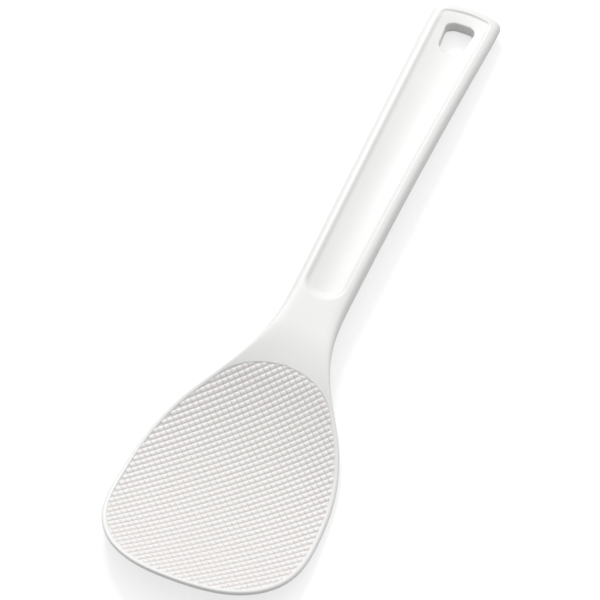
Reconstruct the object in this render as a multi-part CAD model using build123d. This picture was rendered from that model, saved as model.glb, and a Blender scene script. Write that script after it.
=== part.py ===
from build123d import *
import os
from math import sqrt

os.makedirs("parts", exist_ok=True)

# A one-piece moulded rice paddle: a dished blade, a smooth neck and a handle with a long scooped recess.

# Lengths along the paddle, measured from the blade's tip towards the handle's end.
blade_length = 98.2
handle_length = 135.2

# Widths seen from above, and the rounding of the handle's end.
blade_width = 61.6
neck_width = 18.2
handle_end_width = 22.0
end_corner_radius = 3.2
end_arc_radius = 27.0

# The front face seen from the side is a chain of arcs that touch: two for the bowl of the blade,
# one for the shoulder that turns level into the neck, and one long arch for the handle.
belly_from_tip = 47.7
bowl_front_radius = 122.0
bowl_rear_radius = 95.0
bowl_rear_run = 29.0
shoulder_radius = 74.0
shoulder_run = 20.0
handle_arch_radius = 1039.0

# The cross-section: its thickness, how far the blade's sides rise above its middle,
# and how far the handle's edges fall away from its crest, in front and behind.
blade_thickness = 2.0
handle_thickness = 5.8
dish_rise = 1.28
front_crown = 1.3
back_crown = 1.0

# The scooped recess in the handle's front, inside a narrow lip.
lip_width = 2.45
recess_neck_end = 107.6
recess_ramp = 3.6
recess_end_wall = 2.7
recess_depth = 1.35
recess_side_wall = 0.45
recess_corner_radius = 2.6

# The hanging hole near the handle's end: a wide arched top, and a round bottom towards the blade.
hole_length = 12.9
hole_from_end = 7.7
hole_top_width = 9.5
hole_top_rise = 0.35
hole_bottom_radius = 4.05
hole_corner_radius = 1.2

# One overrun for every tool that must pass a surface that it cuts.
overrun = 5.0

overall_length = blade_length + handle_length

# The blade's right edge from the tip to the neck. Each row holds the place along the blade, how much of
# the step from the neck's half width to the blade's is reached there, and then how much of the dish, of
# the crown and of the step from the blade's thickness to the handle's. The first rows round the tip and
# carry no cross-section of their own.
tip_edge_shares = [
    (0.0222, 0.275),
    (0.0640, 0.600),
]
blade_row_shares = [
    (0.150, 0.889, 0.25, 0.00, 0.00),
    (0.338, 1.000, 0.48, 0.00, 0.00),
    (0.525, 0.905, 0.92, 0.00, 0.00),
    (0.675, 0.652, 1.00, 0.00, 0.00),
    (0.795, 0.333, 0.72, 0.04, 0.09),
    (0.892, 0.133, 0.40, 0.22, 0.34),
    (1.000, 0.025, 0.12, 0.55, 0.64),
]

# The neck's row holds its own shares of the crown and of the thickness, and the handle's rows after it
# have both in full. The handle swells from the neck's width to the end's with a power of the distance.
# The slab and the recess's floor are lofted through evenly spaced sections, which holds their thickness.
neck_share = 0.08
neck_crown_share = 0.85
neck_thickness_share = 0.88
handle_row_shares = (0.18, 0.35, 0.60, 0.85)
slab_steps = 26
floor_steps = 9
swell_power = 1.6
swell_end_share = 0.92
swell_point_shares = (0.25, 0.50, 0.75)
recess_point_shares = (0.33, 0.67)

# How a section's edge falls away from its crest: shares of the half width and of the crown.
crown_shares = [(0.00, 0.00), (0.50, 0.01), (0.80, 0.24), (1.00, 1.00), (1.12, 1.80)]


def arc_rise(radius, run):
    """How far an arc that starts level has risen after a run."""
    return radius - sqrt(radius**2 - run**2)


def front_height(y):
    """Height of the front face's middle line over its lowest point, at y from the tip."""
    if y < belly_from_tip:
        return arc_rise(bowl_front_radius, belly_from_tip - y)
    if y < belly_from_tip + bowl_rear_run:
        return arc_rise(bowl_rear_radius, y - belly_from_tip)
    height = arc_rise(bowl_rear_radius, bowl_rear_run)
    slope = bowl_rear_run / bowl_rear_radius
    run = min(y - belly_from_tip - bowl_rear_run, shoulder_run)
    next_slope = slope - run / shoulder_radius
    height += shoulder_radius * (sqrt(1 - next_slope**2) - sqrt(1 - slope**2))
    run = max(y - belly_from_tip - bowl_rear_run - shoulder_run, 0)
    slope = next_slope
    next_slope = slope - run / handle_arch_radius
    return height + handle_arch_radius * (sqrt(1 - next_slope**2) - sqrt(1 - slope**2))


def blade_half_width(share):
    """Half width of the blade where a share of the step from the neck's half width is reached."""
    return (neck_width + share * (blade_width - neck_width)) / 2


def handle_half_width(y):
    """Half width of the handle at y from the tip: narrowest at the neck, and swelling towards the end."""
    neck_y = blade_length + neck_share * handle_length
    swell_end = blade_length + swell_end_share * handle_length
    swell = max(0, min(1, (y - neck_y) / (swell_end - neck_y)))**swell_power
    return (neck_width + swell * (handle_end_width - neck_width)) / 2


def section(y, half_width, dish_share, crown_share, thickness_share):
    """One upright cross-section: a front curve, a back curve and two short sides beyond the rim."""
    thickness = blade_thickness + thickness_share * (handle_thickness - blade_thickness)
    sides = [(-u, fall) for u, fall in reversed(crown_shares[1:])] + crown_shares
    front = []
    back = []
    for u, fall in sides:
        dish = dish_share * dish_rise * u**2
        height = front_height(y) + dish
        front.append((u * half_width, y, height - crown_share * front_crown * fall))
        back.append((u * half_width, y, height - thickness + crown_share * back_crown * fall))
    front_curve = Spline(front)
    back_curve = Spline(back)
    left = Line(back[0], front[0])
    right = Line(front[-1], back[-1])
    return Wire([front_curve, right, back_curve, left])


def section_rows():
    """Rows from beyond the tip to beyond the end: y, half width, then the shares of the section."""
    rows = [(-overrun, blade_width / 2) + blade_row_shares[0][2:]]
    for along, width_share, dish, crown, thickness in blade_row_shares:
        before_widest = along < blade_row_shares[1][0]
        half_width = blade_half_width(1 if before_widest else width_share)
        rows.append((along * blade_length, half_width, dish, crown, thickness))
    neck_y = blade_length + neck_share * handle_length
    rows.append((neck_y, neck_width / 2, 0, neck_crown_share, neck_thickness_share))
    for share in handle_row_shares:
        y = blade_length + share * handle_length
        rows.append((y, handle_half_width(y), 0, 1, 1))
    rows.append((overall_length + overrun, handle_end_width / 2, 0, 1, 1))
    return rows


def row_at(rows, y):
    """The half width and the shares at y, on smooth curves through the rows."""
    k = max(i for i in range(len(rows) - 1) if rows[i][0] <= y)
    run = rows[k + 1][0] - rows[k][0]
    t = (y - rows[k][0]) / run
    values = []
    for column in range(1, len(rows[0])):
        slopes = []
        for i in (k, k + 1):
            before = rows[max(i - 1, 0)]
            after = rows[min(i + 1, len(rows) - 1)]
            slopes.append((after[column] - before[column]) / (after[0] - before[0]))
        from_start = (1 - t)**2 * ((1 + 2 * t) * rows[k][column] + t * run * slopes[0])
        from_end = t**2 * ((3 - 2 * t) * rows[k + 1][column] - (1 - t) * run * slopes[1])
        values.append(from_start + from_end)
    return values


def slab():
    """The curved plate that carries the whole paddle, wider and longer than its outline."""
    rows = section_rows()
    step = (overall_length + 2 * overrun) / slab_steps
    stations = [i * step - overrun for i in range(slab_steps + 1)]
    return Solid.make_loft([section(y, *row_at(rows, y)) for y in stations])


def paddle_outline():
    """The outline seen from above, from the rounded tip to the arched end."""
    edge_points = [(0, 0)]
    for along, width_share, *rest in tip_edge_shares + blade_row_shares:
        edge_points.append((blade_half_width(width_share), along * blade_length))
    neck_y = blade_length + neck_share * handle_length
    edge_points.append((neck_width / 2, neck_y))
    blade_edge = Spline(edge_points, tangents=[(1, 0), (0, 1)])
    half_end = handle_end_width / 2
    end_centre_y = overall_length - end_arc_radius
    corner_x = half_end - end_corner_radius
    inner_radius = end_arc_radius - end_corner_radius
    corner_rise = sqrt(inner_radius**2 - corner_x**2)
    corner_y = end_centre_y + corner_rise
    reach = end_arc_radius / inner_radius
    touch = (corner_x * reach, end_centre_y + corner_rise * reach)
    swell_points = [(neck_width / 2, neck_y)]
    for share in swell_point_shares:
        y = neck_y + share * (corner_y - neck_y)
        swell_points.append((handle_half_width(y), y))
    swell_points.append((half_end, corner_y))
    handle_edge = Spline(swell_points, tangents=[(0, 1), (0, 1)])
    corner = TangentArc((half_end, corner_y), touch, tangent=(0, 1))
    end_arc = ThreePointArc(touch, (0, overall_length), (-touch[0], touch[1]))
    right = [blade_edge, handle_edge, corner]
    left = [edge.mirror(Plane.YZ) for edge in right]
    return Face(Wire([*right, end_arc, *left]))


def blank():
    """The solid paddle before its recess and hole: the slab cut to the outline."""
    return slab() & extrude(Pos(0, 0, -overall_length) * paddle_outline(), 2 * overall_length)


def recess_section(y, top):
    """The recess's cross-section at y: a floor that is hollow across, and straight sides up to the top."""
    half = handle_half_width(y)
    middle = front_height(y) - recess_depth
    edge = front_height(y) - recess_side_wall
    arc = ThreePointArc((-half, y, edge), (0, y, middle), (half, y, edge))
    sides = Polyline((half, y, edge), (half, y, top), (-half, y, top), (-half, y, edge))
    return Wire([arc, *sides.edges()])


def recess():
    """The space scooped out of the handle: a plan outline inside the lip, over a floor with a ramp."""
    half_width = neck_width / 2 - lip_width
    arc_y = recess_neck_end + half_width
    half_end = handle_end_width / 2 - lip_width
    end_y = overall_length - recess_end_wall
    scoop = ThreePointArc((-half_width, arc_y), (0, recess_neck_end), (half_width, arc_y))
    points = [(half_width, arc_y)]
    corner_y = end_y - recess_corner_radius
    for share in recess_point_shares:
        y = arc_y + share * (corner_y - arc_y)
        points.append((handle_half_width(y) - lip_width, y))
    points.append((half_end, corner_y))
    side = Spline(points, tangents=[(0, 1), (0, 1)])
    corner = TangentArc((half_end, corner_y), (half_end - recess_corner_radius, end_y), tangent=(0, 1))
    end = Line(corner @ 1, (recess_corner_radius - half_end, end_y))
    mirrored = [edge.mirror(Plane.YZ) for edge in (side, corner)]
    plan = Face(Wire([scoop, side, corner, end, *mirrored]))
    column = extrude(Pos(0, 0, -overall_length) * plan, 2 * overall_length)
    start_y = recess_neck_end + recess_ramp
    step = (overall_length + overrun - start_y) / floor_steps
    stations = [start_y + i * step for i in range(floor_steps + 1)]
    floor = Solid.make_loft([recess_section(y, front_height(y) + overrun) for y in stations])
    ramp_radius = (recess_ramp**2 + recess_depth**2) / (2 * recess_depth)
    pivot = front_height(start_y) - recess_depth + ramp_radius
    ramp = revolve(Face(recess_section(start_y, pivot)), Axis((0, start_y, pivot), (1, 0, 0)))
    return (floor + ramp) & column


def hanging_hole():
    """The column that the hanging hole takes out of the handle."""
    top_y = overall_length - hole_from_end
    bottom_y = top_y - hole_length
    centre_y = bottom_y + hole_bottom_radius
    half_top = hole_top_width / 2
    side_y = top_y - hole_top_rise
    bottom = ThreePointArc((-hole_bottom_radius, centre_y), (0, bottom_y), (hole_bottom_radius, centre_y))
    right = Line((hole_bottom_radius, centre_y), (half_top, side_y))
    left = Line((-half_top, side_y), (-hole_bottom_radius, centre_y))
    top = ThreePointArc((half_top, side_y), (0, top_y), (-half_top, side_y))
    column = extrude(Pos(0, 0, -overall_length) * Face(Wire([bottom, right, top, left])), 2 * overall_length)
    corners = column.edges().filter_by(Axis.Z).sort_by(Axis.Y)[-2:]
    return fillet(corners, hole_corner_radius)


paddle = blank() - recess() - hanging_hole()

# The blade's back touches the table below the lowest point of its front.
paddle = Pos(0, -overall_length / 2, blade_thickness) * paddle
export_step(paddle, "parts/paddle.step")
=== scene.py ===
from math import atan2, pi, sqrt

import bmesh
import bpy
import numpy as np
from mathutils import Matrix, Vector


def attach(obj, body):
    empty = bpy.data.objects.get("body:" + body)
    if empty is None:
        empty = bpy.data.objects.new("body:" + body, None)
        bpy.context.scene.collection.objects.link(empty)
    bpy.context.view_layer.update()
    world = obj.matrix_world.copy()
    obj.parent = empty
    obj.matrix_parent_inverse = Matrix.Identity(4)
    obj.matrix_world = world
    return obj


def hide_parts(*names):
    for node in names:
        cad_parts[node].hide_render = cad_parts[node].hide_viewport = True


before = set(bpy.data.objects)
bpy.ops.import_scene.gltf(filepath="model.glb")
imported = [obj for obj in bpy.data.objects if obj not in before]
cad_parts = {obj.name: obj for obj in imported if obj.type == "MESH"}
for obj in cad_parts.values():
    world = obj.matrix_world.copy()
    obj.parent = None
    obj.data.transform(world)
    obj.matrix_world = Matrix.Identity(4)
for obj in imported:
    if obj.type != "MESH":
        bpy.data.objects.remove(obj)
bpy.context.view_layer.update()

# The paddle is one injection moulding in white polypropylene: a dished blade with a sunk field on each
# face, a smooth neck, and a handle with a scooped recess and a hanging hole. Its skin is worked out in
# millimetres, with x across the paddle, y from the blade's tip to the handle's end, and z up.
blade_length = 98.2
handle_length = 135.2
overall_length = blade_length + handle_length
half_blade = 30.79
half_neck = 9.1
half_end = 11.0
blade_thickness = 2.0
handle_thickness = 5.8
neck_share = 0.08
neck_y = blade_length + neck_share * handle_length

# The front face seen from the side: two arcs for the bowl, one for the shoulder and one for the handle.
belly_y = 47.7
bowl_front_radius = 122.0
bowl_rear_radius = 95.0
bowl_rear_run = 29.0
shoulder_radius = 74.0
shoulder_run = 20.0
arch_radius = 1039.0


def arc_rise(radius, first_sine, run):
    """Rise along an arc that bends down, from the sine of its first slope and its run along y."""
    last_sine = first_sine - run / radius
    return radius * (np.sqrt(1 - last_sine**2) - sqrt(1 - first_sine**2))


def front_height(y):
    """Height of the front face's middle line over the belly, which is its lowest point."""
    past_belly = y - belly_y
    past_bowl = past_belly - bowl_rear_run
    past_shoulder = past_bowl - shoulder_run
    bowl_sine = bowl_rear_run / bowl_rear_radius
    arch_sine = bowl_sine - shoulder_run / shoulder_radius
    front = bowl_front_radius - np.sqrt(bowl_front_radius**2 - np.minimum(past_belly, 0)**2)
    rear = bowl_rear_radius - np.sqrt(bowl_rear_radius**2 - np.clip(past_belly, 0, bowl_rear_run)**2)
    shoulder = arc_rise(shoulder_radius, bowl_sine, np.clip(past_bowl, 0, shoulder_run))
    arch = arc_rise(arch_radius, arch_sine, np.maximum(past_shoulder, 0))
    return front + rear + shoulder + arch


# Cross-sections along the paddle: y, half width, and the shares of the dish, the crown and the thickness.
section_rows = np.array([
    (-5.0, half_blade, 0.25, 0.00, 0.00),
    (15.3, half_blade, 0.25, 0.00, 0.00),
    (33.7, half_blade, 0.48, 0.00, 0.00),
    (51.9, 28.5, 0.92, 0.00, 0.00),
    (66.5, 22.8, 1.00, 0.00, 0.00),
    (78.2, 16.1, 0.72, 0.04, 0.09),
    (87.7, 12.0, 0.40, 0.22, 0.34),
    (98.2, 9.6, 0.12, 0.55, 0.64),
    (neck_y, half_neck, 0.00, 0.85, 0.88),
    (122.0, 9.3, 0.00, 1.00, 1.00),
    (140.0, 9.5, 0.00, 1.00, 1.00),
    (170.0, 10.0, 0.00, 1.00, 1.00),
    (200.0, 10.6, 0.00, 1.00, 1.00),
    (235.0, half_end, 0.00, 1.00, 1.00),
])
section_y, section_half, section_dish, section_crown, section_thick = section_rows.T
dish_rise = 1.28
front_crown = 0.9
back_crown = 1.0
crown_power = 8.0
widest_share = 1.1


def spline(knots, values, at):
    """A smooth curve through the values at the knots, straight at its two ends."""
    step = np.diff(knots)
    slope = np.diff(values) / step
    count = len(knots)
    rows = np.eye(count)
    right = np.zeros(count)
    for k in range(1, count - 1):
        rows[k, k - 1:k + 2] = step[k - 1], 2 * (step[k - 1] + step[k]), step[k]
        right[k] = 6 * (slope[k] - slope[k - 1])
    bend = np.linalg.solve(rows, right)
    k = np.clip(np.searchsorted(knots, at) - 1, 0, count - 2)
    width = step[k]
    before = at - knots[k]
    after = knots[k + 1] - at
    curve = (bend[k] * after**3 + bend[k + 1] * before**3) / (6 * width)
    from_left = (values[k] / width - bend[k] * width / 6) * after
    from_right = (values[k + 1] / width - bend[k + 1] * width / 6) * before
    return curve + from_left + from_right


def face_heights(x, y):
    """Heights of the plain front and back faces at a point, before rims, field and recess."""
    across = np.abs(x) / spline(section_y, section_half, y)
    dish = dish_rise * spline(section_y, section_dish, y)
    thickness = blade_thickness + (handle_thickness - blade_thickness) * spline(section_y, section_thick, y)
    fall = spline(section_y, section_crown, y) * np.minimum(across, widest_share)**crown_power
    middle = front_height(y) + dish * across**2
    return middle - front_crown * fall, middle - thickness + back_crown * fall


# The outline's right side, seen from above. The blade's edge is one smooth curve through shares of half its
# width and of its length. The handle swells from the neck to its end, an arc with round corners.
edge_shares = [
    (0.489, 0.0222), (0.718, 0.0640), (0.922, 0.150), (1.000, 0.338), (0.933, 0.525),
    (0.755, 0.675), (0.530, 0.795), (0.389, 0.892), (0.313, 1.000),
]
neck_knot_runs = (0.0, 12.0, 30.0)
swell_end_share = 0.92
swell_end_y = blade_length + swell_end_share * handle_length
swell_power = 1.6
end_arc_radius = 27.0
end_corner_radius = 3.2
end_centre_y = overall_length - end_arc_radius
blade_points = 1200
handle_points = 400


def reach_along(points):
    """Distance along a line to each of its points."""
    return np.concatenate([[0], np.cumsum(np.hypot(*np.diff(points, axis=0).T))])


def even(points, steps):
    """The same line in a number of equal steps."""
    reach = reach_along(points)
    at = np.linspace(0, reach[-1], steps + 1)
    return np.stack([np.interp(at, reach, points[:, 0]), np.interp(at, reach, points[:, 1])], 1)


def arc(centre, radius, start, end, steps):
    """An arc in plan, with its angles measured from +x."""
    angles = np.linspace(start, end, steps + 1)
    return np.stack([centre[0] + radius * np.cos(angles), centre[1] + radius * np.sin(angles)], 1)


def axis(first_y, last_y, steps):
    """Points on the paddle's middle line."""
    y = np.linspace(first_y, last_y, steps + 1)
    return np.stack([np.zeros(len(y)), y], 1)


def chain(*parts):
    """Lines joined end to end, each without the point that the one before ends on."""
    return np.concatenate([parts[0]] + [part[1:] for part in parts[1:]])


def outward(points):
    """Unit directions square to a line that runs anticlockwise from the axis back to the axis."""
    mirrored = np.concatenate([points[1:2] * (-1, 1), points, points[-2:-1] * (-1, 1)])
    along = mirrored[2:] - mirrored[:-2]
    return np.stack([along[:, 1], -along[:, 0]], 1) / np.hypot(*along.T)[:, None]


def half_width(y):
    """Half width of the handle."""
    swell = np.clip((y - neck_y) / (swell_end_y - neck_y), 0, 1)**swell_power
    return half_neck + swell * (half_end - half_neck)


def handle_side(first_y, last_y, inset):
    """A line along the handle's side, an inset in from the outline."""
    y = np.linspace(first_y, last_y, handle_points)
    return np.stack([half_width(y) - inset, y], 1)


def end_corner(half, corner_radius, end_radius):
    """Centre of the round corner between a side and the arched end, and the angle where its arc stops."""
    x = half - corner_radius
    rise = sqrt((end_radius - corner_radius)**2 - x**2)
    return (x, end_centre_y + rise), atan2(rise, x)


edge_knots = [(x * half_blade, y * blade_length) for x, y in edge_shares]
left_knots = [(-x, y) for x, y in edge_knots[1::-1]]
neck_knots = [(half_width(neck_y + run), neck_y + run) for run in neck_knot_runs]
knots = np.array(left_knots + [(0.0, 0.0)] + edge_knots + neck_knots)
knot_reach = reach_along(knots)
at = np.linspace(knot_reach[len(left_knots)], knot_reach[-len(neck_knots)], blade_points)
blade_edge = np.stack([spline(knot_reach, knots[:, 0], at), spline(knot_reach, knots[:, 1], at)], 1)
blade_edge[0] = 0, 0
corner, corner_turn = end_corner(half_end, end_corner_radius, end_arc_radius)
corner_y = corner[1]
side = chain(blade_edge, handle_side(blade_edge[-1, 1], corner_y, 0))

# The field that carries the bumps, a little sunk into each face of the blade. It stops a margin inside the
# outline and ends in an arc at the shoulder.
field_margin = 1.22
field_top_y = 82.9
field_arc_radius = 22.0
field_depth = 0.40
field_wall = 0.30
field_wall_shares = (0.35, 0.65, 1.0)
field_smoothings = 10
field_side_steps = 170
field_arc_steps = 26
field_floor_rows = 10
field_centre = (0, field_top_y - field_arc_radius)
field_edge = side - outward(side) * field_margin
inside_arc = np.hypot(*(field_edge - field_centre).T) <= field_arc_radius
meets = int(np.flatnonzero(inside_arc)[-1]) + 1
meets_x, meets_y = field_edge[meets] - field_centre
field_ring = chain(
    even(field_edge[:meets + 1], field_side_steps),
    arc(field_centre, field_arc_radius, atan2(meets_y, meets_x), pi / 2, field_arc_steps),
)
for _ in range(field_smoothings):
    field_ring[1:-1] = (field_ring[:-2] + 2 * field_ring[1:-1] + field_ring[2:]) / 4

# The hanging hole, right through the handle's end: a round bottom, sides that spread a little, and a gently
# arched top with round corners. Its wall is rounded over on both faces, more so on the back.
hole_length = 12.9
hole_from_end = 7.7
hole_half_top = 4.6
hole_top_rise = 0.35
hole_bottom_radius = 4.05
hole_corner_radius = 2.2
hole_corner_turn = 0.46 * pi
hole_front_radius = 0.35
hole_back_radius = 1.7
hole_y = overall_length - hole_from_end - hole_length
hole_top_y = hole_y + hole_length
hole_centre_y = hole_y + hole_bottom_radius
hole_corner_x = hole_half_top - hole_corner_radius
hole_corner_y = hole_top_y - hole_top_rise - hole_corner_radius
hole_arc_steps = 40
hole_side_steps = 22
corner_steps = 10
end_steps = 12
hole_ring = chain(
    even(chain(arc((0, hole_centre_y), hole_bottom_radius, -pi / 2, 0, hole_arc_steps),
               np.array([(hole_bottom_radius, hole_centre_y), (hole_half_top, hole_corner_y)])),
         hole_side_steps),
    arc((hole_corner_x, hole_corner_y), hole_corner_radius, 0, hole_corner_turn, corner_steps),
    even(np.array([(hole_corner_x, hole_top_y), (0, hole_top_y)]), end_steps),
)
hole_top = hole_ring[-end_steps - 1:]
hole_top[:, 1] = hole_top_y - hole_top_rise * (hole_top[:, 0] / hole_half_top)**2
hole_out = outward(hole_ring)

# The recess scooped into the handle's front, between two lips. Its floor is a hollow arc from side to side.
# A long ramp leads to it at the neck, steep walls elsewhere, and it gets shallower at the handle's end.
lip_width = 2.45
recess_y = 107.6
recess_half = half_neck - lip_width
recess_end_wall = 2.7
recess_end_y = overall_length - recess_end_wall
recess_depth = 1.35
recess_side_depth = 0.45
recess_corner_radius = 2.6
recess_wall = 1.5
recess_ramp = 3.6
recess_ramp_power = 1.5
recess_end_slope = 0.8
recess_end_run = 9.0
recess_end_rise_share = 0.68
recess_round_steps = 22
recess_side_steps = 124
recess_wall_rows = 8
recess_floor_rows = 10
recess_end_radius = end_arc_radius - recess_end_wall
recess_corner, recess_turn = end_corner(half_end - lip_width, recess_corner_radius, recess_end_radius)
recess_ring = chain(
    arc((0, recess_y + recess_half), recess_half, -pi / 2, 0, recess_round_steps),
    even(handle_side(recess_y + recess_half, hole_y, lip_width), recess_side_steps),
    even(handle_side(hole_y, recess_corner[1], lip_width), hole_side_steps),
    arc(recess_corner, recess_corner_radius, 0, recess_turn, corner_steps),
    arc((0, end_centre_y), recess_end_radius, recess_turn, pi / 2, end_steps),
)


def ease(share):
    """A soft step from 0 to 1."""
    return share * share * (3 - 2 * share)


def recess_drop(points):
    """Depth of the recess's floor."""
    across = points[:, 0] / (half_width(points[:, 1]) - lip_width)
    hollow = (recess_depth - recess_side_depth) * (1 - across**2)
    near_end = np.clip(1 - (recess_end_y - points[:, 1]) / recess_end_run, 0, 1)
    return (recess_side_depth + hollow) * (1 - recess_end_rise_share * ease(near_end))


# Stations along the outline. From each a line runs across the paddle to the middle, or to the edge of the
# field, the recess or the hole, so that the edges of the mesh follow those of the moulding.
neck_steps = 34
shoulder_lead = 2.0
side_stops = [
    (side[meets, 1], field_side_steps),
    (field_top_y + shoulder_lead, field_arc_steps),
    (recess_y, neck_steps),
    (recess_y + recess_half, recess_round_steps),
    (hole_y, recess_side_steps),
    (corner_y, hole_side_steps),
]
rim_parts = []
first = 0
for stop_y, steps in side_stops:
    last = int(np.argmin(np.abs(side[:, 1] - stop_y)))
    rim_parts.append(even(side[first:last + 1], steps))
    first = last
rim = chain(
    *rim_parts,
    arc(corner, end_corner_radius, 0, corner_turn, corner_steps),
    arc((0, end_centre_y), end_arc_radius, corner_turn, pi / 2, end_steps),
)
field_end = field_side_steps + field_arc_steps
recess_start = field_end + neck_steps
hole_start = recess_start + recess_round_steps + recess_side_steps

# The skin is laid in rows of points over the stations, and each row is joined to the one before.
verts = []
faces = []


def lay(points, face, drop):
    """Adds a row on the front (0) or back (1) face, sunk by a drop: its right side, then its left."""
    heights = face_heights(points[:, 0], points[:, 1])[face] + drop * (1 if face else -1)
    first = len(verts)
    for hand in (1, -1):
        verts.extend((hand * x, y, z) for (x, y), z in zip(points, heights))
    return first, first + len(points)


def join(one, two, count):
    """Faces between two rows over the same stations, on the right and on the left."""
    for a, b, turn in ((one[0], two[0], 1), (one[1], two[1], -1)):
        for k in range(count - 1):
            quad = (a + k, b + k, b + k + 1, a + k + 1)
            faces.append(quad[::turn])


def next_row(last, points, face, drop):
    """Adds a row beside the last one and joins the two."""
    row = lay(points, face, drop)
    join(last, row, len(points))
    return row


def fill(last, outer, inner, count, face, depth):
    """Rows from an outer line to an inner one, as deep as a function says. Returns the last row."""
    for k in range(1, count + 1):
        share = k / count
        points = outer * (1 - share) + inner * share
        last = next_row(last, points, face, depth(points))
    return last


def row_from(row, station):
    """The part of a row that starts at a station."""
    return row[0] + station, row[1] + station


# The rim. Both faces turn down to the side wall in a quarter round, which is larger on the thick handle, and
# on its back grows towards the handle's end.
blade_rim_radius = 0.9
front_rim_radius = 1.7
back_rim_radius = 2.3
end_rim_radius = 2.9
front_rim_share = 0.38
back_rim_share = 0.56
end_rim_shift_share = 0.12
quarter_steps = 7
band_rows = 12
rim_out = outward(rim)
thick_share = np.clip(spline(section_y, section_thick, rim[:, 1]), 0, 1)
end_share = np.clip((rim[:, 1] - neck_y) / (corner_y - neck_y), 0, 1)**2
front_radii = blade_rim_radius + thick_share * (front_rim_radius - blade_rim_radius)
back_radii = blade_rim_radius + thick_share * (back_rim_radius - blade_rim_radius)
back_radii += end_share * (end_rim_radius - back_rim_radius)
rim_front, rim_back = face_heights(rim[:, 0], rim[:, 1])
rim_thickness = rim_front - rim_back
front_falls = (front_rim_share - end_share * end_rim_shift_share) * rim_thickness
back_falls = (back_rim_share + end_share * end_rim_shift_share) * rim_thickness
wall_rows = []
band_starts = []
for face, radii, falls in ((0, front_radii, front_falls), (1, back_radii, back_falls)):
    row = lay(rim, face, falls)
    wall_rows.append(row)
    for angle in np.linspace(pi / 2, 0, quarter_steps + 1)[1:]:
        line = rim - rim_out * (radii * (1 - np.sin(angle)))[:, None]
        row = next_row(row, line, face, falls * (1 - np.cos(angle)))
    band_starts.append((row, line))
join(wall_rows[0], wall_rows[1], len(rim))

# The plain band inside the rim, on the front down to the field, the neck's middle and the recess, and on the
# back to the field, the handle's middle and the hole.
front_line = chain(field_ring, axis(field_top_y, recess_y, neck_steps), recess_ring)
back_line = chain(
    field_ring,
    axis(field_top_y, hole_y - hole_back_radius, hole_start - field_end),
    hole_ring + hole_out * hole_back_radius,
)
edge_rows = []
for face, line in ((0, front_line), (1, back_line)):
    row, rim_line = band_starts[face]
    edge_rows.append(fill(row, rim_line, line, band_rows, face, lambda points: 0))

# The field's wall and floor, on both faces.
field_out = outward(field_ring)
for face, row in enumerate(edge_rows):
    for share in field_wall_shares:
        line = field_ring - field_out * field_wall * share
        row = next_row(row, line, face, field_depth * ease(share))
    fill(row, line, line * (0, 1), field_floor_rows, face, lambda points: field_depth)

# The recess's walls and floor, down to the rounded edge of the hole. The ramp is at the neck's end alone.
recess_out = outward(recess_ring)
toward_blade = np.clip(-recess_out[:, 1], 0, 1)**recess_ramp_power
toward_blade[recess_round_steps + 1:] = 0
toward_end = np.clip(recess_out[:, 1], 0, 1)
walls = recess_wall + toward_blade * (recess_ramp - recess_wall)
walls += toward_end * (recess_end_slope - recess_wall)
row = row_from(edge_rows[0], recess_start)
for share in np.linspace(0, 1, recess_wall_rows + 1)[1:]:
    line = recess_ring - recess_out * (walls * share)[:, None]
    row = next_row(row, line, 0, recess_drop(line) * ease(share))
floor_line = chain(
    axis(line[0, 1], hole_y - hole_front_radius, hole_start - recess_start),
    hole_ring + hole_out * hole_front_radius,
)
floor_row = fill(row, line, floor_line, recess_floor_rows, 0, recess_drop)

# The hole's wall, with its rounded edges.
hole_rows = [row_from(floor_row, hole_start - recess_start), row_from(edge_rows[1], hole_start)]
for face, radius in ((0, hole_front_radius), (1, hole_back_radius)):
    for angle in np.linspace(0, pi / 2, quarter_steps + 1)[1:]:
        line = hole_ring + hole_out * radius * (1 - np.sin(angle))
        floor = 0 if face else recess_drop(line)
        hole_rows[face] = next_row(hole_rows[face], line, face, floor + radius * (1 - np.cos(angle)))
join(hole_rows[0], hole_rows[1], len(hole_ring))

# The skin as one closed mesh in metres, in the part's own frame.
millimetre = 0.001
merge_distance = 0.002
least_edge = 0.0001


def place(points):
    """From millimetres along the paddle to metres in the part's own frame."""
    shift = np.array((0, -overall_length / 2, blade_thickness))
    return ((np.array(points) + shift) * millimetre).tolist()


mesh = bpy.data.meshes.new("paddle_moulding")
mesh.from_pydata(place(verts), [], faces)
shape = bmesh.new()
shape.from_mesh(mesh)
bmesh.ops.remove_doubles(shape, verts=shape.verts, dist=merge_distance * millimetre)
bmesh.ops.dissolve_degenerate(shape, edges=shape.edges, dist=least_edge * millimetre)
bmesh.ops.recalc_face_normals(shape, faces=shape.faces)
shape.to_mesh(mesh)
shape.free()
mesh.polygons.foreach_set("use_smooth", [True] * len(mesh.polygons))
body = bpy.data.objects.new("paddle_moulding", mesh)
bpy.context.scene.collection.objects.link(body)

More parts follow.
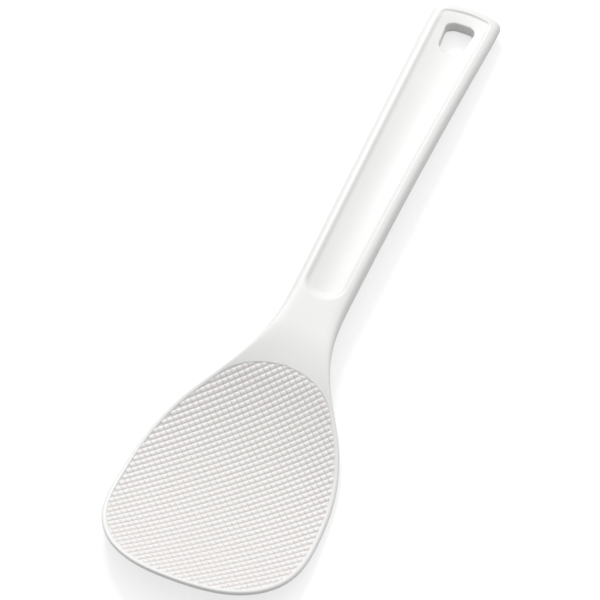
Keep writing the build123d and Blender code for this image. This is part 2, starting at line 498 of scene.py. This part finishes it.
# White polypropylene, satin from a lightly blasted mould: a fine even grain, slow waves in gloss and tint,
# and a painted warm tint deep between the bumps, which stands in for light passing through the plastic from
# wall to wall there.
grain_scale = 2600
grain_detail = 2
grain_strength = 0.12
grain_height = 0.08
cloud_scale = 60
cloud_detail = 4
smoothest = 0.36
roughest = 0.48
white_low = (0.86, 0.86, 0.85, 1)
white_high = (0.90, 0.90, 0.89, 1)
# The painted warm tint between the bumps, standing in for light bounced from wall to wall in the grooves.
painted_bounce_white = (0.94, 0.87, 0.85, 1)
plastic = bpy.data.materials.new("white_polypropylene")
plastic.use_nodes = True
tree = plastic.node_tree
shader = tree.nodes["Principled BSDF"]
shader.inputs["IOR"].default_value = 1.49
shader.inputs["Specular IOR Level"].default_value = 0.45
where = tree.nodes.new("ShaderNodeTexCoord")
grain = tree.nodes.new("ShaderNodeTexNoise")
cloud = tree.nodes.new("ShaderNodeTexNoise")
for noise, scale, detail in ((grain, grain_scale, grain_detail), (cloud, cloud_scale, cloud_detail)):
    noise.inputs["Scale"].default_value = scale
    noise.inputs["Detail"].default_value = detail
    tree.links.new(where.outputs["Object"], noise.inputs["Vector"])
relief = tree.nodes.new("ShaderNodeBump")
relief.inputs["Strength"].default_value = grain_strength
relief.inputs["Distance"].default_value = grain_height * millimetre
tree.links.new(grain.outputs["Fac"], relief.inputs["Height"])
tree.links.new(relief.outputs["Normal"], shader.inputs["Normal"])
gloss = tree.nodes.new("ShaderNodeMapRange")
gloss.inputs["To Min"].default_value = smoothest
gloss.inputs["To Max"].default_value = roughest
tree.links.new(cloud.outputs["Fac"], gloss.inputs["Value"])
tree.links.new(gloss.outputs["Result"], shader.inputs["Roughness"])
tint = tree.nodes.new("ShaderNodeMix")
tint.data_type = "RGBA"
tint.inputs["A"].default_value = white_low
tint.inputs["B"].default_value = white_high
tree.links.new(cloud.outputs["Fac"], tint.inputs["Factor"])
# Painted bounce light: a mask kept on the bumps, highest deep in the grooves, mixes in the painted warm
# tint.
painted_bounce_mask = tree.nodes.new("ShaderNodeAttribute")
painted_bounce_mask.attribute_name = "painted_bounce_mask"
painted_bounce_mix = tree.nodes.new("ShaderNodeMix")
painted_bounce_mix.data_type = "RGBA"
painted_bounce_mix.inputs["B"].default_value = painted_bounce_white
tree.links.new(painted_bounce_mask.outputs["Fac"], painted_bounce_mix.inputs["Factor"])
tree.links.new(tint.outputs["Result"], painted_bounce_mix.inputs["A"])
tree.links.new(painted_bounce_mix.outputs["Result"], shader.inputs["Base Color"])
body.data.materials.append(plastic)
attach(body, "root")
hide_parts("paddle")

# The bumps on both faces of the blade keep rice from sticking. They are part of the same moulding: small
# cushions in rows, with grooves between them that cross at right angles. Their tops lie just under the
# plain surface round the field.
bump_pitch = 1.75
bump_width = 1.68
bump_length = 1.71
bump_height = 0.33
bump_root = 0.25
bump_margin = 0.04
crown_share = 0.55
dip_share = 0.26
waist_share = 0.12
edge_crowding = 2.3
crown_bend = 2
drop_bend = 10
dip_bend = 4
cushion_points = {"Vertices X": 4, "Vertices Y": 5, "Vertices Z": 2}
lattice_turn = pi / 4
lattice_reach = 160.0
lattice_centre_y = -65.0
ray_height = 100.0
ray_length = 300.0
patch_columns = 40


def field_patch(face):
    """The field's floor as an open mesh, up to a margin inside its ring, for the bumps to stand on."""
    line = field_ring - outward(field_ring) * bump_margin
    across = np.linspace(-1, 1, patch_columns + 1)
    patch_verts = []
    for x, y in line:
        row_x = across * x
        row_y = np.full(len(across), y)
        row_z = face_heights(row_x, row_y)[face] + field_depth * (1 if face else -1)
        patch_verts.extend(zip(row_x, row_y, row_z))
    patch_faces = []
    for first in range(0, len(patch_verts) - len(across), len(across)):
        for a in range(first, first + patch_columns):
            quad = (a, a + 1, a + 1 + len(across), a + len(across))
            patch_faces.append(quad[::-1 if face else 1])
    mesh = bpy.data.meshes.new("field")
    mesh.from_pydata(place(patch_verts), [], patch_faces)
    patch = bpy.data.objects.new("field", mesh)
    bpy.context.scene.collection.objects.link(patch)
    return patch


def bump_tree():
    """Nodes that drop a turned square lattice on the field and stand a cushion on each place it hits."""
    tree = bpy.data.node_groups.new("blade_bumps", "GeometryNodeTree")
    new = tree.nodes.new
    link = tree.links.new
    kinds = {"Geometry": "NodeSocketGeometry", "Field": "NodeSocketObject", "Material": "NodeSocketMaterial"}
    for name in ("Pitch", "Width", "Length", "Height", "Root", "Crown", "Dip", "Waist", "Side", "Reach"):
        kinds[name] = "NodeSocketFloat"
    for name, kind in kinds.items():
        tree.interface.new_socket(name, in_out="INPUT", socket_type=kind)
    tree.interface.new_socket("Geometry", in_out="OUTPUT", socket_type="NodeSocketGeometry")
    inputs = new("NodeGroupInput").outputs
    outputs = new("NodeGroupOutput").inputs

    def calc(operation, a, b=0):
        """One sum, of numbers or of sockets."""
        node = new("ShaderNodeMath")
        node.operation = operation
        for socket, value in zip(node.inputs, (a, b)):
            if isinstance(value, (int, float)):
                socket.default_value = value
            else:
                link(value, socket)
        return node.outputs[0]

    def vector(**parts):
        """A vector from the sockets of its parts."""
        node = new("ShaderNodeCombineXYZ")
        for key, value in parts.items():
            link(value, node.inputs[key])
        return node.outputs[0]

    def position():
        """The parts of each point's place."""
        node = new("ShaderNodeSeparateXYZ")
        link(new("GeometryNodeInputPosition").outputs[0], node.inputs[0])
        return node.outputs

    def keep(geometry, name, kind, value):
        """The geometry with a value kept on each of its points."""
        node = new("GeometryNodeStoreNamedAttribute")
        node.data_type = kind
        node.inputs["Name"].default_value = name
        link(geometry, node.inputs["Geometry"])
        link(value, node.inputs["Value"])
        return node.outputs["Geometry"]

    def kept(name, kind):
        """A value kept on each point."""
        node = new("GeometryNodeInputNamedAttribute")
        node.data_type = kind
        node.inputs["Name"].default_value = name
        return node.outputs["Attribute"]

    # The lattice, and a ray from each of its points on to the field.
    lattice = new("GeometryNodeMeshGrid")
    whole = new("FunctionNodeFloatToInt")
    link(calc("ADD", calc("DIVIDE", inputs["Reach"], inputs["Pitch"]), 1), whole.inputs[0])
    count = whole.outputs[0]
    span = calc("MULTIPLY", calc("SUBTRACT", count, 1), inputs["Pitch"])
    for key, value in (("Size X", span), ("Size Y", span), ("Vertices X", count), ("Vertices Y", count)):
        link(value, lattice.inputs[key])
    turned = new("GeometryNodeTransform")
    turned.inputs["Rotation"].default_value = (0, 0, lattice_turn)
    turned.inputs["Translation"].default_value = (0, lattice_centre_y * millimetre, 0)
    link(lattice.outputs["Mesh"], turned.inputs["Geometry"])
    surface = new("GeometryNodeObjectInfo")
    link(inputs["Field"], surface.inputs["Object"])
    here = position()
    ray = new("GeometryNodeRaycast")
    ray.inputs["Ray Length"].default_value = ray_length * millimetre
    start_z = calc("MULTIPLY", inputs["Side"], ray_height * millimetre)
    link(surface.outputs["Geometry"], ray.inputs["Target Geometry"])
    link(vector(X=here["X"], Y=here["Y"], Z=start_z), ray.inputs["Source Position"])
    link(vector(Z=calc("MULTIPLY", inputs["Side"], -1)), ray.inputs["Ray Direction"])
    points = keep(turned.outputs[0], "stand", "FLOAT_VECTOR", ray.outputs["Hit Normal"])
    points = keep(points, "hit", "BOOLEAN", ray.outputs["Is Hit"])
    landed = new("GeometryNodeSetPosition")
    link(points, landed.inputs["Geometry"])
    link(ray.outputs["Hit Position"], landed.inputs["Position"])
    link(ray.outputs["Is Hit"], landed.inputs["Selection"])

    # The cushion: a small block whose top falls across to both long sides, and dips a little at its ends.
    block = new("GeometryNodeMeshCube")
    link(vector(X=inputs["Length"], Y=inputs["Width"], Z=inputs["Root"]), block.inputs["Size"])
    for key, value in cushion_points.items():
        block.inputs[key].default_value = value
    spot = position()
    outer = {}
    spread = {}
    for key, name in (("X", "Length"), ("Y", "Width")):
        share = calc("ABSOLUTE", calc("DIVIDE", spot[key], calc("DIVIDE", inputs[name], 2)))
        outer[key] = calc("SUBTRACT", 1, calc("POWER", calc("SUBTRACT", 1, share), edge_crowding))
        spread[key] = calc("MULTIPLY", spot[key], calc("DIVIDE", outer[key], share))
    fall = calc("MULTIPLY", calc("POWER", outer["Y"], crown_bend), inputs["Crown"])
    drop = calc("MULTIPLY", calc("POWER", outer["Y"], drop_bend), calc("SUBTRACT", 1, inputs["Crown"]))
    across = calc("SUBTRACT", 1, calc("ADD", fall, drop))
    near_ends = calc("POWER", outer["X"], dip_bend)
    along = calc("SUBTRACT", 1, calc("MULTIPLY", near_ends, inputs["Dip"]))
    waist = calc("SUBTRACT", 1, calc("MULTIPLY", near_ends, inputs["Waist"]))
    top = calc("GREATER_THAN", spot["Z"], 0)
    height = calc("MULTIPLY", calc("MULTIPLY", across, along), top)
    rise = calc("SUBTRACT", calc("MULTIPLY", height, inputs["Height"]), calc("DIVIDE", inputs["Root"], 2))
    place_y = calc("MULTIPLY", spread["Y"], waist)
    place_z = calc("ADD", spot["Z"], rise)
    # Each point keeps how far it lies below the cushion's top, the mask for the painted warm tint between
    # the bumps.
    marked = keep(block.outputs["Mesh"], "painted_bounce_mask", "FLOAT", calc("SUBTRACT", 1, height))
    cushion = new("GeometryNodeSetPosition")
    link(marked, cushion.inputs["Geometry"])
    link(vector(X=spread["X"], Y=place_y, Z=place_z), cushion.inputs["Position"])

    # A cushion on each hit, upright on the field and turned with the lattice.
    upright = new("FunctionNodeAlignRotationToVector")
    upright.axis = "Z"
    link(kept("stand", "FLOAT_VECTOR"), upright.inputs["Vector"])
    quarter = new("FunctionNodeEulerToRotation")
    quarter.inputs[0].default_value = (0, 0, lattice_turn)
    spin = new("FunctionNodeRotateRotation")
    spin.rotation_space = "LOCAL"
    link(upright.outputs[0], spin.inputs["Rotation"])
    link(quarter.outputs[0], spin.inputs["Rotate By"])
    dots = new("GeometryNodeInstanceOnPoints")
    link(landed.outputs[0], dots.inputs["Points"])
    link(kept("hit", "BOOLEAN"), dots.inputs["Selection"])
    link(cushion.outputs[0], dots.inputs["Instance"])
    link(spin.outputs[0], dots.inputs["Rotation"])
    real = new("GeometryNodeRealizeInstances")
    link(dots.outputs[0], real.inputs[0])
    smooth = new("GeometryNodeSetShadeSmooth")
    link(real.outputs[0], smooth.inputs["Geometry"])
    paint = new("GeometryNodeSetMaterial")
    link(smooth.outputs[0], paint.inputs["Geometry"])
    link(inputs["Material"], paint.inputs["Material"])
    link(paint.outputs[0], outputs["Geometry"])
    return tree


bump_nodes = bump_tree()
bump_values = {
    "Pitch": bump_pitch * millimetre,
    "Width": bump_width * millimetre,
    "Length": bump_length * millimetre,
    "Height": bump_height * millimetre,
    "Root": bump_root * millimetre,
    "Reach": lattice_reach * millimetre,
    "Crown": crown_share,
    "Dip": dip_share,
    "Waist": waist_share,
    "Material": plastic,
}
for name, face in (("front_bumps", 0), ("back_bumps", 1)):
    patch = field_patch(face)
    holder = bpy.data.objects.new(name + "_maker", bpy.data.meshes.new(name + "_maker"))
    bpy.context.scene.collection.objects.link(holder)
    maker = holder.modifiers.new("bumps", "NODES")
    maker.node_group = bump_nodes
    values = bump_values | {"Field": patch, "Side": -1.0 if face else 1.0}
    for socket in bump_nodes.interface.items_tree:
        if socket.in_out == "INPUT" and socket.name in values:
            maker[socket.identifier] = values[socket.name]
    graph = bpy.context.evaluated_depsgraph_get()
    bump_mesh = bpy.data.meshes.new_from_object(holder.evaluated_get(graph), depsgraph=graph)
    bump_mesh.name = name
    bumps = bpy.data.objects.new(name, bump_mesh)
    bpy.context.scene.collection.objects.link(bumps)
    bpy.data.objects.remove(holder)
    bpy.data.objects.remove(patch)
    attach(bumps, "root")

# The floor is a plain pale sheet that takes the paddle's shadow. It glows for the camera and in reflections
# alone, so that it looks white without more light on the paddle. Lengths are in metres from here on.
floor_reach = 4.0
floor_grey = (0.45, 0.45, 0.45, 1)
floor_roughness = 0.9
floor_glow = 0.68
floor_mesh = bpy.data.meshes.new("floor")
floor_corners = [(x * floor_reach, y * floor_reach, 0) for x, y in ((-1, -1), (1, -1), (1, 1), (-1, 1))]
floor_mesh.from_pydata(floor_corners, [], [(0, 1, 2, 3)])
floor = bpy.data.objects.new("floor", floor_mesh)
bpy.context.scene.collection.objects.link(floor)
ground = bpy.data.materials.new("pale_floor")
ground.use_nodes = True
nodes = ground.node_tree.nodes
links = ground.node_tree.links
sheet = nodes["Principled BSDF"]
sheet.inputs["Base Color"].default_value = floor_grey
sheet.inputs["Roughness"].default_value = floor_roughness
rays = nodes.new("ShaderNodeLightPath")
camera_or_gloss = nodes.new("ShaderNodeMath")
camera_or_gloss.operation = "ADD"
links.new(rays.outputs["Is Camera Ray"], camera_or_gloss.inputs[0])
links.new(rays.outputs["Is Glossy Ray"], camera_or_gloss.inputs[1])
seen = nodes.new("ShaderNodeMath")
seen.operation = "ADD"
seen.use_clamp = True
links.new(camera_or_gloss.outputs[0], seen.inputs[0])
links.new(rays.outputs["Is Transmission Ray"], seen.inputs[1])
dark = nodes.new("ShaderNodeEmission")
dark.inputs["Strength"].default_value = 0.0
glow = nodes.new("ShaderNodeEmission")
glow.inputs["Strength"].default_value = floor_glow
pick = nodes.new("ShaderNodeMixShader")
links.new(seen.outputs[0], pick.inputs[0])
links.new(dark.outputs[0], pick.inputs[1])
links.new(glow.outputs[0], pick.inputs[2])
both = nodes.new("ShaderNodeAddShader")
links.new(sheet.outputs[0], both.inputs[0])
links.new(pick.outputs[0], both.inputs[1])
links.new(both.outputs[0], nodes["Material Output"].inputs["Surface"])
floor.data.materials.append(ground)

# The light: soft and white all round, brighter from a high window behind the paddle's handle, with one
# large square lamp at the upper left that shades the grooves between the bumps.
window_direction = (-0.20, 0.80, 0.60)
window_fade = {"From Min": -0.6, "From Max": 0.9, "To Min": 0.37, "To Max": 0.80}
lamp_place = Vector((-0.88, 1.40, 1.45))
lamp_size = 0.55
lamp_power = 21.2
world = bpy.data.worlds.new("studio")
world.use_nodes = True
bpy.context.scene.world = world
sky = world.node_tree
background = sky.nodes["Background"]
background.inputs["Color"].default_value = (1, 1, 1, 1)
direction = sky.nodes.new("ShaderNodeTexCoord")
window = sky.nodes.new("ShaderNodeVectorMath")
window.operation = "DOT_PRODUCT"
window.inputs[1].default_value = Vector(window_direction).normalized()
fade = sky.nodes.new("ShaderNodeMapRange")
fade.interpolation_type = "SMOOTHSTEP"
for key, value in window_fade.items():
    fade.inputs[key].default_value = value
sky.links.new(direction.outputs["Generated"], window.inputs[0])
sky.links.new(window.outputs["Value"], fade.inputs["Value"])
sky.links.new(fade.outputs["Result"], background.inputs["Strength"])
lamp_data = bpy.data.lights.new("key", "AREA")
lamp_data.size = lamp_size
lamp_data.energy = lamp_power
lamp = bpy.data.objects.new("key", lamp_data)
lamp.location = lamp_place
lamp.rotation_euler = (-lamp_place).to_track_quat("-Z", "Y").to_euler()
bpy.context.scene.collection.objects.link(lamp)

# The camera stands where the photograph was taken from: about 50 degrees up, beyond the blade's tip and a
# little to its right, far away and with a long lens.
sensor_width = 36
focal_length = 289.9
farthest = 20
camera_place = Vector((0.2904, -0.80685, 1.1376))
to_camera = Vector((0.2092, -0.5637, 0.7991)).normalized()
picture_right = Vector((0.92527, 0.37850, 0.02472)).normalized()
camera_data = bpy.data.cameras.new("camera")
camera_data.sensor_width = sensor_width
camera_data.lens = focal_length
camera_data.clip_end = farthest
camera = bpy.data.objects.new("camera", camera_data)
bpy.context.scene.collection.objects.link(camera)
picture_up = to_camera.cross(picture_right).normalized()
picture_right = picture_up.cross(to_camera).normalized()
camera_turn = Matrix((picture_right, picture_up, to_camera)).transposed()
camera.matrix_world = Matrix.Translation(camera_place) @ camera_turn.to_4x4()
bpy.context.scene.camera = camera
bpy.context.scene.view_settings.view_transform = "Standard"
